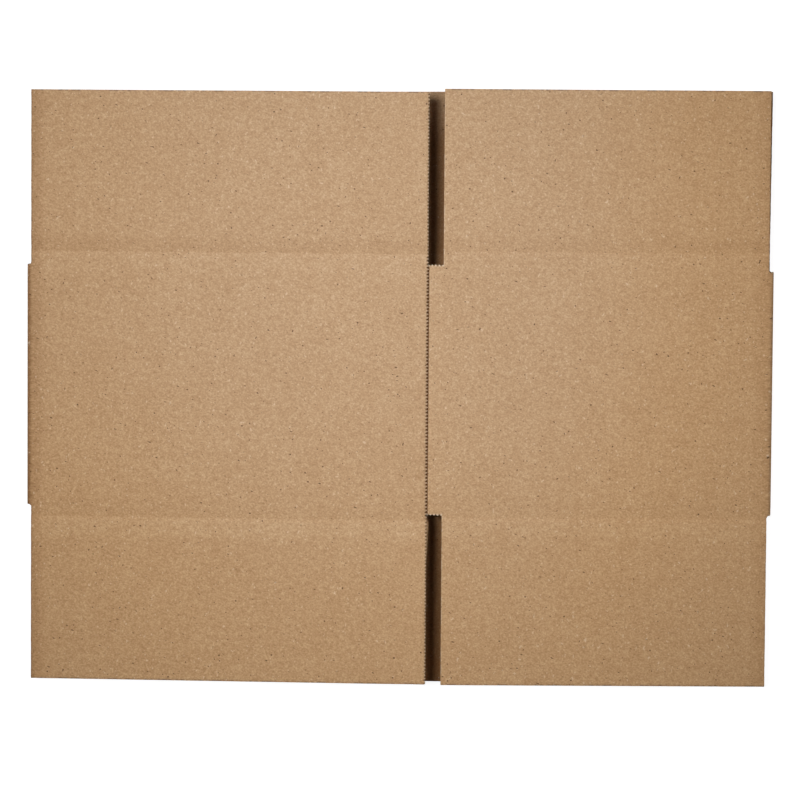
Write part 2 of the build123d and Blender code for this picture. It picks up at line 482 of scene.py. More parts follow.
class Cut(Enum):
    """The kinds of cut round the blank."""

    JOINED = CutLook(spacing=FLUTE_STEP)
    # FLUTE_ENDS and FLAP_SIDE have a pale below 0: painted shade along those edges.
    FLUTE_ENDS = CutLook(spacing=0.8 * MM, recess=6.0 * MM, ply_back=0.4 * MM, crush=0.5 * MM,
                         shoulder=1.2 * MM, wobble=0.06 * MM, pale=-0.9)
    FLAP_SIDE = CutLook(spacing=1.2 * MM, recess=2.6 * MM, ply_back=0.9 * MM, crush=0.25 * MM,
                        wobble=0.16 * MM, pale=-0.25)
    # SLOT_SIDE's pale line is partly torn paper and partly a painted highlight where the edge
    # catches the light.
    SLOT_SIDE = CutLook(spacing=1.2 * MM, recess=2.6 * MM, ply_back=0.9 * MM, crush=0.25 * MM,
                        wobble=0.16 * MM, pale=0.45)
    SLOT_END = CutLook(spacing=TOOTH_STEP, recess=3.4 * MM, ply_back=1.5 * MM, teeth=1.2 * MM,
                       tip_drop=0.4 * MM, shoulder=1.8 * MM, pale=1.0)
    NOTCH_END = CutLook(spacing=TOOTH_STEP, recess=3.4 * MM, ply_back=1.5 * MM, teeth=0.5 * MM,
                        tip_drop=0.2 * MM, shoulder=0.9 * MM, pale=0.4)
    # KNIFE_EDGE and FLAP_KNIFE paint shade into the roots of their teeth.
    KNIFE_EDGE = CutLook(spacing=TOOTH_STEP, recess=3.4 * MM, ply_back=1.8 * MM, teeth=1.5 * MM,
                         reach=0.75 * MM, crush=0.2 * MM, tip_drop=1.1 * MM,
                         shoulder=0.95 * MM, pale=0.55, root_painted_shade=0.8)
    FLAP_KNIFE = CutLook(spacing=TOOTH_STEP, recess=3.4 * MM, ply_back=1.8 * MM, teeth=1.3 * MM,
                         reach=0.7 * MM, crush=0.1 * MM, tip_drop=0.3 * MM,
                         shoulder=0.55 * MM, pale=0.55, root_painted_shade=0.6)


@dataclass(frozen=True)
class Corner:
    """A corner of a board outline, with the cut that runs on from it to the next corner."""

    u: float
    v: float
    cut: Cut


@dataclass
class Panel:
    """A closed piece of board over a right-angled outline, walked with the board on the left.

    margin: how far the lattice's outline is set in
    corner_room, notch_room: room left free beside a corner, and beside the end of a fold
    line_room: how near a regular line of the lattice may come to one that must be there
    tooth_room: room left free at the ends of a toothed side, as a share of a step
    mitre_reach: over how many depths a side's inner rows are moved to meet at a mitre
    brow: how far from the edge to the shoulder the outer liner's middle row lies
    wave_lengths: lengths in mm of the sines that make a liner's line uneven
    pale_waves: how the unevenness shows in the edge mark, as torn paper or painted shade by the
    sign of pale, its gain and its base
    tip_power: how sharply torn paper gathers at the tips of the teeth
    inner_teeth, inner_back: share of the teeth in the inner liner's knife edge, and its setback
    liner_reach_v, liner_reach: places in mm along the knife edge, and how far the inner liner
        stands out there
    torn_and_shade_shares: how much of the edge mark, torn paper and painted shade, each row of the
    ring shows
    skin_rows: how many steps of the ring belong to the liner's face
    """

    blank: Blank
    corners: list[Corner]
    u_lines: np.ndarray
    v_lines: np.ndarray
    knife: Knife = field(default_factory=Knife)
    margin: float = 2.2 * MM
    corner_room: float = 1.3 * MM
    notch_room: float = 0.6 * MM
    line_room: float = 0.25 * MM
    tooth_room: float = 0.4
    mitre_reach: float = 3.0
    brow: float = 0.35
    wave_lengths: tuple[float, ...] = (0.61, 1.73, 4.9)
    pale_waves: tuple[float, float] = (1.6, 0.25)
    tip_power: float = 1.5
    inner_teeth: float = 0.6
    inner_back: float = 0.25 * MM
    liner_reach_v: tuple[float, ...] = (-182, -112, -100, -83, -78, 76, 83, 181)
    liner_reach: tuple[float, ...] = (0.0, 0.0, 0.8, 1.4, -1.2, -1.2, 0.0, 0.0)
    torn_and_shade_shares: tuple[float, ...] = (0, 0.5, 1, 0.4, 0, 0, 0, 0.1, 0.1, 0, 0, 0.2, 0.2)
    skin_rows: int = 2

    def __post_init__(self) -> None:
        """Find each side's direction, inward normal and length, and the outline set in."""
        self.points = np.array([(corner.u, corner.v) for corner in self.corners])
        ahead = np.roll(self.points, -1, axis=0) - self.points
        self.lengths = np.abs(ahead).sum(axis=1)
        self.directions = ahead / self.lengths[:, None]
        self.axes = np.abs(self.directions).argmax(axis=1)
        self.inward = np.column_stack([-self.directions[:, 1], self.directions[:, 0]])
        behind = np.roll(self.inward, 1, axis=0)
        self.convex = np.sign((self.directions * behind).sum(axis=1))
        self.inset = self.points + self.margin * (self.inward + behind)

    def _lattice(self) -> None:
        """Lay a lattice of cells inside the inset outline and number the nodes that it uses."""
        self.lattice_u = self._with_lines(self.u_lines, self.inset[:, 0])
        self.lattice_v = self._with_lines(self.v_lines, self.inset[:, 1])
        middle_u = (self.lattice_u[1:] + self.lattice_u[:-1]) / 2
        middle_v = (self.lattice_v[1:] + self.lattice_v[:-1]) / 2
        inside = np.zeros((len(middle_u), len(middle_v)), bool)
        for start, end in zip(self.inset, np.roll(self.inset, -1, axis=0)):
            if abs(start[0] - end[0]) < TINY:
                low, high = sorted((start[1], end[1]))
                beside = (middle_v > low) & (middle_v < high)
                inside ^= (middle_u < start[0])[:, None] & beside[None, :]
        self.cell_u, self.cell_v = np.nonzero(inside)
        used = np.zeros((len(self.lattice_u), len(self.lattice_v)), bool)
        for step_u in (0, 1):
            for step_v in (0, 1):
                used[self.cell_u + step_u, self.cell_v + step_v] = True
        self.node_number = np.full(used.shape, -1)
        self.node_number[used] = np.arange(used.sum())
        node_u, node_v = np.nonzero(used)
        self.nodes = np.column_stack([self.lattice_u[node_u], self.lattice_v[node_v]])

    def _with_lines(self, regular: np.ndarray, fixed: np.ndarray) -> np.ndarray:
        """Merge regular lines with fixed ones.

        Args:
            regular: Places of the regular lines.
            fixed: Places of the lines that have to be there.

        Returns:
            Both in order, without regular ones outside the fixed ones or too close to one.
        """
        fixed = np.unique(np.round(fixed, 9))
        inner = regular[(regular > fixed[0]) & (regular < fixed[-1])]
        away = np.abs(inner[:, None] - fixed[None, :]).min(axis=1) > self.line_room
        return np.sort(np.concatenate([fixed, inner[away]]))

    def _cells(self) -> np.ndarray:
        """Join the lattice's nodes into cells.

        Returns:
            Four node numbers for each cell, anticlockwise seen from outside.
        """
        number, i, j = self.node_number, self.cell_u, self.cell_v
        corners = (number[i, j], number[i + 1, j], number[i + 1, j + 1], number[i, j + 1])
        return np.column_stack(corners)

    def _distances(self, side: int) -> np.ndarray:
        """Place the points along one side.

        Args:
            side: Number of the side.

        Returns:
            Distances from the side's start to just before the next corner. On a toothed side they
            lie on the steps of the teeth, and else evenly, with the lattice's rows, clear of the
            corners.
        """
        look = self.corners[side].cut.value
        length = self.lengths[side]
        axis = self.axes[side]
        start, sign = self.points[side][axis], self.directions[side][axis]
        if look.teeth:
            low, high = sorted((start, start + sign * length))
            first = math.ceil(low / TOOTH_STEP + self.tooth_room)
            last = math.floor(high / TOOTH_STEP - self.tooth_room)
            places = np.arange(first, last + 1) * TOOTH_STEP
            return np.concatenate([[0.0], np.sort((places - start) * sign)])
        if length < 2 * self.corner_room + look.spacing:
            return np.array([0.0])
        neighbours = (self.corners[side - 1].cut, self.corners[(side + 1) % len(self.corners)].cut)
        first, last = (self.notch_room if cut is Cut.NOTCH_END else self.corner_room
                       for cut in neighbours)
        inner = spaced(first, length - last, look.spacing)
        if axis == 1:
            rows = (self.v_lines - start) * sign
            rows = rows[(rows > first) & (rows < length - last)]
            inner = np.unique(np.round(np.concatenate([inner, rows]), 7))
        return np.concatenate([[0.0], inner])

    def _offsets(self, side: int, distance: np.ndarray) -> tuple[np.ndarray, ...]:
        """Find where the two liners end along one side, how far they are pressed, how torn, and
        their painted shade.

        Args:
            side: Number of the side.
            distance: Distances along it.

        Returns:
            Inward offset of the outer liner, that of the inner liner, the crush, and the edge mark:
            how pale the torn paper shows, less the painted shade at the roots of the teeth and,
            where pale is below 0, along the edge. Teeth are zigzags on the knife's pitch, the inner
            liner's half a tooth later; their tips are paler and bent down further, most where the
            joint is pressed.
            Wobble is a sum of three sines, each with its own length as its start.
        """
        look = self.corners[side].cut.value
        place = self.points[side][:, None] + self.directions[side][:, None] * distance
        along = place[self.axes[side]]
        sines = [np.sin(along / (length * MM) + length) for length in self.wave_lengths]
        waves = sum(sines) / len(sines)
        root, root_later = self.knife.root(along), self.knife.root(along + self.knife.pitch / 2)
        drop = look.tip_drop * (1 - root)
        gain, base = self.pale_waves
        paling = (1 - root) ** self.tip_power if look.teeth else smooth(gain * waves + base)
        # The roots of the teeth take painted shade, taken off the torn paper's paleness.
        pale = look.pale * paling - look.root_painted_shade * root * root
        outer = look.teeth * root + look.wobble * (1 + waves) / 2
        inner = look.teeth * root_later + look.wobble * (1 - waves) / 2
        if self.corners[side].cut in (Cut.KNIFE_EDGE, Cut.FLAP_KNIFE):
            places, reaches = np.array([self.liner_reach_v, self.liner_reach]) * MM
            inner = self.inner_teeth * inner + self.inner_back - np.interp(along, places, reaches)
            drop = drop * self.blank.pressed(*place) / self.blank.joint_press
        return outer - look.reach, inner - look.reach, look.crush + drop, pale

    def _shifted(self, side: int, distance: np.ndarray, depths: tuple[float, float]) -> np.ndarray:
        """Move distances along a side so that its inner rows meet its neighbours' at mitres.

        Args:
            side: Number of the side.
            distance: Distances along it.
            depths: How deep the inner rows of the side before and of the side after lie.

        Returns:
            The distances, moved by the neighbour's depth at a corner and ever less away from it.
        """
        before, after = depths
        turn_start = self.convex[side]
        turn_end = self.convex[(side + 1) % len(self.corners)]
        length = self.lengths[side]
        near_start = np.clip(1 - distance / max(self.mitre_reach * before, TINY), 0, 1)
        near_end = np.clip(1 - (length - distance) / max(self.mitre_reach * after, TINY), 0, 1)
        return distance + turn_start * before * near_start - turn_end * after * near_end

    def _ring(self) -> tuple[np.ndarray, np.ndarray, np.ndarray]:
        """Carry the section of the cut board round the outline.

        Returns:
            Points as rows by places by u, v and h, the number of the first place of each side, and
            each point's edge mark: how pale its torn paper is, or below 0 how much painted shade it
            takes.
            From the outer face's shoulder down, a section goes round the outer liner's edge, back
            under it into the open flute, out along the fluted ply, round its edge, back in, and out
            to the inner liner's edge.
        """
        board, count = self.blank.board, len(self.corners)
        sides, pales, firsts, total = [], [], [], 0
        for side in range(count):
            before, after = (side - 1) % count, (side + 1) % count
            looks = [self.corners[place].cut.value for place in (before, side, after)]
            distance = self._distances(side)
            outer, inner, crush, pale = self._offsets(side, distance)
            end_offsets = self._offsets(before, np.array([self.lengths[before]]))
            inward, direction = self.inward[side], self.directions[side]
            inward_before = self.inward[before]
            start = self.points[side]
            line = start + direction * distance[:, None]
            outer_line = line + inward * outer[:, None]
            inner_line = line + inward * inner[:, None]
            outer_line[0] += inward_before * end_offsets[0][0]
            inner_line[0] += inward_before * end_offsets[1][0]
            crush[0] = max(crush[0], end_offsets[2][0])
            shoulder_line = self._set_in(side, distance, [each.shoulder for each in looks])
            deep_line = self._set_in(side, distance, [each.recess for each in looks])
            ply_line = self._set_in(side, distance, [each.ply_back for each in looks])
            brow_line = outer_line + self.brow * (shoulder_line - outer_line)
            deep_pressed, near_pressed = (-self.blank.outer_relief(*plan.T)
                                          for plan in (deep_line, ply_line))
            deep_ply = board.ply_height(self.blank.crest(deep_line[:, 0]), deep_pressed)
            near_ply = board.ply_height(self.blank.crest(ply_line[:, 0]), near_pressed)
            half = board.ply / 2
            crushed = ((shoulder_line, 0.0), (brow_line, (1 - self.brow) ** 2), (outer_line, 1.0))
            shoulder, brow, edge = (
                board.thickness + self.blank.outer_relief(*plan.T) - share * crush
                for plan, share in crushed)
            bottom = self.blank.inner_relief(inner_line[:, 0])
            flat = np.zeros(len(distance))
            rows = [
                (shoulder_line, shoulder), (brow_line, brow), (outer_line, edge),
                (outer_line, edge - board.liner), (shoulder_line, shoulder - board.liner),
                (deep_line, board.thickness - deep_pressed - board.liner),
                (deep_line, deep_ply + half), (ply_line, near_ply + half),
                (ply_line, near_ply - half), (deep_line, deep_ply - half),
                (deep_line, flat + board.liner), (inner_line, bottom + board.liner),
                (inner_line, bottom),
            ]
            sides.append(np.stack([np.column_stack([plan, height]) for plan, height in rows]))
            pales.append(np.array(self.torn_and_shade_shares)[:, None] * pale)
            firsts.append(total)
            total += len(distance)
        return np.concatenate(sides, axis=1), np.array(firsts), np.concatenate(pales, axis=1)

    def _set_in(self, side: int, distance: np.ndarray, depths: list[float]) -> np.ndarray:
        """Points along a side, set in from it and mitred at its corners.

        Args:
            side: Number of the side.
            distance: Distances along it.
            depths: How deep this line lies on the side before, on this side and on the side after.

        Returns:
            The side's start, plus its direction times the shifted distance, plus its inward depth.
        """
        shifted = self._shifted(side, distance, (depths[0], depths[2]))
        along = self.directions[side] * shifted[:, None]
        return self.points[side] + along + self.inward[side] * depths[1]

    def _border(self, firsts: np.ndarray, ring: np.ndarray) -> tuple[np.ndarray, np.ndarray]:
        """Zip the outline's points to the lattice nodes beside them, side by side.

        Args:
            firsts: Number of the first place of each side.
            ring: The ring's points.

        Returns:
            Triangles of two outline places and one node, and of one outline place and two nodes.
            Each segment's apex is the point reached on the other line when all are taken in order
            of length.
        """
        total, count = ring.shape[1], len(self.corners)
        outline_fans, lattice_fans = [], []
        for side in range(count):
            end = firsts[side + 1] if side + 1 < count else total
            places = np.arange(firsts[side], end + 1) % total
            axis = self.axes[side]
            nodes = self._side_nodes(side, axis)
            sign = self.directions[side][axis]
            place_share = np.append(self._distances(side), self.lengths[side]) / self.lengths[side]
            node_places = self.nodes[nodes][:, axis] * sign
            node_share = (node_places - node_places[0]) / (node_places[-1] - node_places[0])
            place_middle = (place_share[1:] + place_share[:-1]) / 2
            node_middle = (node_share[1:] + node_share[:-1]) / 2
            apex = nodes[np.searchsorted(node_middle, place_middle)]
            outline_fans.append(np.column_stack([places[:-1], places[1:], apex]))
            apex = places[np.searchsorted(place_middle, node_middle, side="right")]
            lattice_fans.append(np.column_stack([apex, nodes[1:], nodes[:-1]]))
        return np.concatenate(outline_fans), np.concatenate(lattice_fans)

    def _side_nodes(self, side: int, axis: int) -> np.ndarray:
        """Find the lattice nodes along one side of the inset outline.

        Args:
            side: Number of the side.
            axis: The axis it runs along, 0 for u and 1 for v.

        Returns:
            The nodes' numbers, in the side's direction.
        """
        start = self.inset[side]
        end = self.inset[(side + 1) % len(self.corners)]
        lines, others = self.lattice_u, self.lattice_v
        if axis == 1:
            lines, others = others, lines
        low, high = (np.abs(lines - value[axis]).argmin() for value in (start, end))
        fixed = np.abs(others - start[1 - axis]).argmin()
        steps = np.arange(low, high + 1) if high > low else np.arange(low, high - 1, -1)
        return self.node_number[steps, fixed] if axis == 0 else self.node_number[fixed, steps]

    def build(self, name: str) -> bpy.types.Object:
        """Make the piece's mesh.

        Args:
            name: Name of the object.

        Returns:
            The object: outer face, inner face and the ring between them, closed, with the blank's
            coordinates and a mark of torn paper and painted shade for the cut edges on its points.
        """
        self._lattice()
        ring, firsts, pale = self._ring()
        node_u, node_v = self.nodes.T
        outer_height = self.blank.board.thickness + self.blank.outer_relief(node_u, node_v)
        outer = np.column_stack([node_u, node_v, outer_height])
        inner = np.column_stack([node_u, node_v, self.blank.inner_relief(node_u)])
        points = np.concatenate([outer, inner, ring.reshape(-1, 3)])
        node_count, place_count = len(outer), ring.shape[1]
        ring_start = 2 * node_count
        row_steps = len(self.torn_and_shade_shares) - 1
        last_row = ring_start + row_steps * place_count
        cells = self._cells()
        outline_fans, lattice_fans = self._border(firsts, ring)
        triangles = []
        for place_base, node_base, order in ((ring_start, 0, 1), (last_row, node_count, -1)):
            first = outline_fans + np.array([place_base, place_base, node_base])
            second = lattice_fans + np.array([place_base, node_base, node_base])
            triangles += [first[:, ::order], second[:, ::order]]
        here = np.arange(place_count)
        after = (here + 1) % place_count
        sections = []
        for row in range(row_steps):
            upper = ring_start + row * place_count
            lower = upper + place_count
            rows = (upper + here, lower + here, lower + after, upper + after)
            sections.append(np.column_stack(rows))
        quads = np.concatenate([cells, (cells + node_count)[:, ::-1], *sections])
        edge_mark = np.zeros(len(points))
        edge_mark[ring_start:] = pale.ravel()
        skin_count = 2 * len(cells) + self.skin_rows * place_count
        kinds = np.concatenate([np.zeros(skin_count), np.ones(len(quads) - skin_count),
                                np.zeros(sum(len(part) for part in triangles))])
        faces = [quads, *triangles]
        maker = MeshMaker(name, self.blank.folded(points), faces, kinds.astype(np.int32))
        return maker.make({"board_place": points, "cut_edge": edge_mark})


@dataclass
class MeshMaker:
    """Puts whole arrays into a mesh."""

    name: str
    points: np.ndarray
    faces: list[np.ndarray]
    material_numbers: np.ndarray
    sharp_angle: float = 38.0

    def make(self, attributes: dict[str, np.ndarray]) -> bpy.types.Object:
        """Make the mesh and its object.

        Args:
            attributes: Values for each point, by name: one number or three.

        Returns:
            The object, linked to the scene, smooth but for its sharp edges.
        """
        mesh = bpy.data.meshes.new(self.name)
        mesh.vertices.add(len(self.points))
        mesh.vertices.foreach_set("co", self.points.astype(np.float32).ravel())
        corners = np.concatenate([part.ravel() for part in self.faces]).astype(np.int32)
        sizes = np.concatenate([np.full(len(part), part.shape[1]) for part in self.faces])
        starts = np.concatenate([[0], np.cumsum(sizes)[:-1]]).astype(np.int32)
        mesh.loops.add(len(corners))
        mesh.loops.foreach_set("vertex_index", corners)
        mesh.polygons.add(len(sizes))
        mesh.polygons.foreach_set("loop_start", starts)
        mesh.polygons.foreach_set("material_index", self.material_numbers)
        mesh.update(calc_edges=True)
        mesh.validate()
        mesh.polygons.foreach_set("use_smooth", np.ones(len(mesh.polygons), bool))
        mesh.set_sharp_from_angle(angle=math.radians(self.sharp_angle))
        for name, values in attributes.items():
            kind = "FLOAT_VECTOR" if values.ndim == 2 else "FLOAT"
            attribute = mesh.attributes.new(name, kind, "POINT")
            attribute.data.foreach_set("vector" if values.ndim == 2 else "value",
                                       values.astype(np.float32).ravel())
        made = bpy.data.objects.new(self.name, mesh)
        bpy.context.scene.collection.objects.link(made)
        return made


class Value:
    """A number socket with arithmetic: each operation adds its Math node."""

    def __init__(self, graph: "Graph", socket: bpy.types.NodeSocket) -> None:
        """Hold a socket of a graph."""
        self.graph = graph
        self.socket = socket

    def _math(self, operation: str, first: object, second: object) -> "Value":
        """Add one Math node on two sockets or numbers."""
        node = self.graph.node("ShaderNodeMath", {"operation": operation}, {0: first, 1: second})
        return Value(self.graph, node.outputs[0])

    def __add__(self, other: object) -> "Value":
        """Sum."""
        return self._math("ADD", self, other)

    def __radd__(self, other: object) -> "Value":
        """Sum with the number first."""
        return self._math("ADD", other, self)

    def __sub__(self, other: object) -> "Value":
        """Difference."""
        return self._math("SUBTRACT", self, other)

    def __rsub__(self, other: object) -> "Value":
        """Difference with the number first."""
        return self._math("SUBTRACT", other, self)

    def __mul__(self, other: object) -> "Value":
        """Product."""
        return self._math("MULTIPLY", self, other)

    def __rmul__(self, other: object) -> "Value":
        """Product with the number first."""
        return self._math("MULTIPLY", other, self)

    def size(self) -> "Value":
        """The value without its sign."""
        return self._math("ABSOLUTE", self, 0.0)

    def ramp(self, low: float, high: float) -> "Value":
        """Rise gently from 0 to 1.

        Args:
            low: The value where the rise begins.
            high: The value where it ends.

        Returns:
            The smoothed share of the way from low to high, clipped outside.
        """
        settings = {"interpolation_type": "SMOOTHSTEP"}
        sockets = {"Value": self, "From Min": low, "From Max": high, "To Min": 0.0, "To Max": 1.0}
        node = self.graph.node("ShaderNodeMapRange", settings, sockets)
        return Value(self.graph, node.outputs[0])

    def within(self, low: float, high: float, fade: float) -> "Value":
        """1 between low and high, falling to 0 over the fade on both sides of each."""
        return self.ramp(low - fade, low + fade) * (1 - self.ramp(high - fade, high + fade))


class Graph:
    """The node tree of a material or a world."""

    def __init__(self, owner: bpy.types.ID) -> None:
        """Give the owner an empty node tree.

        Args:
            owner: The material or the world.
        """
        owner.use_nodes = True
        self.owner = owner
        self.tree = owner.node_tree
        self.tree.nodes.clear()

    def node(self, kind: str, settings: dict[str, object],
             sockets: dict[object, object]) -> bpy.types.Node:
        """Add a node.

        Args:
            kind: The node's type.
            settings: Its properties, set first; a ramp's stops are given as "stops".
            sockets: Values or links of its inputs, by name or number.

        Returns:
            The node.
        """
        made = self.tree.nodes.new(kind)
        for name, setting in settings.items():
            if name == "stops":
                self._set_stops(made.color_ramp.elements, setting)
            else:
                setattr(made, name, setting)
        for name, value in sockets.items():
            source = value.socket if isinstance(value, Value) else value
            if isinstance(source, bpy.types.NodeSocket):
                self.tree.links.new(source, made.inputs[name])
            else:
                made.inputs[name].default_value = source
        return made

    @staticmethod
    def _set_stops(elements: object, stops: list[tuple[float, tuple[float, ...]]]) -> None:
        """Give a colour ramp its stops.

        Args:
            elements: The ramp's elements.
            stops: Place and colour of each stop.
        """
        while len(elements) < len(stops):
            elements.new(1.0)
        for element, (place, colour) in zip(elements, stops):
            element.position = place
            element.color = colour

    def attribute(self, name: str) -> bpy.types.Node:
        """Read one of the mesh's own attributes."""
        return self.node("ShaderNodeAttribute", {"attribute_name": name}, {})

    def scaled(self, vector: bpy.types.NodeSocket, scale: tuple[float, float, float],
               turn: float) -> bpy.types.NodeSocket:
        """Turn and scale a position.

        Args:
            vector: The position.
            scale: Its factor along each axis.
            turn: Angle in degrees about the board's normal.

        Returns:
            The position, turned first and then multiplied by the scale.
        """
        mapping = self.node("ShaderNodeMapping", {"vector_type": "POINT"},
                            {"Vector": vector, "Rotation": (0.0, 0.0, math.radians(turn))})
        product = self.node("ShaderNodeVectorMath", {"operation": "MULTIPLY"},
                            {0: mapping.outputs[0], 1: scale})
        return product.outputs[0]

    def noise(self, vector: bpy.types.NodeSocket, detail: float, roughness: float) -> Value:
        """Make a smooth noise.

        Args:
            vector: The position; one bump goes to each unit of it.
            detail: How many finer noises are laid over it.
            roughness: How strong those are.

        Returns:
            The noise, from 0 to 1.
        """
        sockets = {"Vector": vector, "Scale": 1.0, "Detail": detail, "Roughness": roughness}
        node = self.node("ShaderNodeTexNoise", {"noise_dimensions": "3D"}, sockets)
        return Value(self, node.outputs[0])

    def mix(self, factor: Value, first: object, second: object,
            blend: str = "MIX") -> bpy.types.NodeSocket:
        """Mix two colours, which are sockets 6 and 7 of the node.

        Args:
            factor: Share of the second colour, or share by which it is multiplied in.
            first: The first colour.
            second: The second colour.
            blend: The node's way of blending.

        Returns:
            The mixed colour.
        """
        settings = {"data_type": "RGBA", "blend_type": blend}
        sockets = {"Factor": factor, 6: first, 7: second}
        return self.node("ShaderNodeMix", settings, sockets).outputs[2]

    def tint(self, factor: Value, colour: object, levels: Levels) -> bpy.types.NodeSocket:
        """Mix in a colour given in screen levels."""
        return self.mix(factor, colour, colour_of(levels))

    def shade(self, factor: Value, colour: object, shares: Levels) -> bpy.types.NodeSocket:
        """Multiply a colour by shares of its red, green and blue."""
        return self.mix(factor, colour, (*shares, 1.0), blend="MULTIPLY")

    def torn_and_shaded(self, colour: object, torn: Levels, painted_edge_shade: Levels) -> bpy.types.NodeSocket:
        """Mix torn paper and painted shade into the cut edges.

        Args:
            colour: Colour of the paper.
            torn: Screen levels mixed in where the edge mark is above 0.
            painted_edge_shade: Screen levels of the painted shade, mixed in where it is below 0.

        Returns:
            The colour with its torn paper and painted shade.
        """
        edge = Value(self, self.attribute("cut_edge").outputs["Fac"])
        colour = self.tint(edge, colour, torn)
        # Painted shade where the edge mark is below 0.
        return self.tint(edge * -1.0, colour, painted_edge_shade)

    def bump(self, height: Value, distance: float) -> bpy.types.NodeSocket:
        """Turn a height from 0 to 1 into a normal, for a relief of that depth in metres."""
        return self.node("ShaderNodeBump", {}, {"Height": height, "Distance": distance}).outputs[0]

    def surface(self, colour: object, roughness: object, normal: object, specular: float) -> None:
        """Finish the material with a Principled shader.

        Args:
            colour: Its base colour.
            roughness: Its roughness.
            normal: Its normal, with the relief.
            specular: Strength of its gloss.
        """
        shader = self.node("ShaderNodeBsdfPrincipled", {}, {
            "Base Color": colour, "Roughness": roughness, "Normal": normal,
            "Specular IOR Level": specular})
        self.node("ShaderNodeOutputMaterial", {}, {"Surface": shader.outputs[0]})


def colour_of(levels: Levels) -> tuple[float, ...]:
    """Turn screen levels into a linear colour.

    Args:
        levels: Red, green and blue, from 0 to 255.

    Returns:
        Each level's share of 255, by the sRGB curve: divided where it is small, and else moved and
        raised to a power. The alpha is 1.
    """
    shares = [level / 255 for level in levels]
    return (*(share / 12.92 if share <= 0.04045 else ((share + 0.055) / 1.055) ** 2.4
              for share in shares), 1.0)


@dataclass(frozen=True)
class Mottle:
    """Unevenness of the paper, as smooth noise.

    bumps: how many bumps there are to a metre across the flutes, along them and through the board
    strength: how much of it goes into the tone
    detail: how many finer noises are laid over it
    roughness: how strong those are
    turn: the angle in degrees by which it lies turned on the board
    """

    bumps: tuple[float, float, float]
    strength: float = 1.0
    detail: float = 2.0
    roughness: float = 0.5
    turn: float = 0.0

    def noise(self, graph: Graph, point: bpy.types.NodeSocket) -> Value:
        """The noise itself, from 0 to 1."""
        return graph.noise(graph.scaled(point, self.bumps, self.turn), self.detail, self.roughness)

    def tone(self, noise: Value) -> Value:
        """What the noise adds to the tone: its strength times the noise less a half."""
        return self.strength * (noise - 0.5)


@dataclass(frozen=True)
class Flecks:
    """Specks in the paper: colour, number to a metre, where the noise is cut, and strength."""

    levels: Levels
    count: float
    low: float
    high: float
    strength: float
    stretch: float = 1.2

    def spots(self, graph: Graph, point: bpy.types.NodeSocket) -> Value:
        """Scatter the specks.

        Args:
            graph: The material's graph.
            point: Place on the blank.

        Returns:
            Strength times a noise's peaks, turned by as many degrees as it has bumps to a metre.
        """
        bumps = (self.count, self.count * self.stretch, self.count)
        noise = Mottle(bumps, detail=0.0, turn=self.count).noise(graph, point)
        return noise.ramp(self.low, self.high) * self.strength


class BoardPlace:
    """Where the shaded point lies on the blank."""

    def __init__(self, graph: Graph, blank: Blank) -> None:
        """Read u, v and h, and measure along u from the middle of each fold.

        Args:
            graph: The material's graph.
            blank: The blank, which says where its folds are.
        """
        self.point = graph.attribute("board_place").outputs["Vector"]
        split = graph.node("ShaderNodeSeparateXYZ", {}, {0: self.point})
        self.across, self.along, self.height = (Value(graph, split.outputs[axis]) for axis in "XYZ")
        self.right = self.across - blank.middle_right
        self.left = self.across - blank.middle_left


@dataclass(frozen=True)
class ScoreShading:
    """Painted shade and light along a score line: painted shade above it, painted light below it.
    """

    dark: float
    light: float
    dark_reach: tuple[float, float] = (6.0 * MM, 11.5 * MM)
    light_reach: tuple[float, float] = (8.0 * MM, 16.0 * MM)
    line_width: float = 0.5 * MM
    short_share: float = 0.6

    def tone(self, along: Value, short_line: float, long_line: float, on_long: Value) -> Value:
        """Find the band's painted shade and light.

        Args:
            along: Place along v.
            short_line: The score line's place on the short panel.
            long_line: Its place on the long panel.
            on_long: 1 on the long panel and 0 on the short one.

        Returns:
            Full strength from the line to the first reach on each side, falling to 0 at the second.
        """
        past = along - short_line - (long_line - short_line) * on_long
        above = past.ramp(-self.line_width, self.line_width)
        dark = self.dark * above * (1 - past.ramp(*self.dark_reach))
        light = self.light * (1 - above) * (1 - (past * -1.0).ramp(*self.light_reach))
        return (dark + light) * (self.short_share + (1 - self.short_share) * on_long)


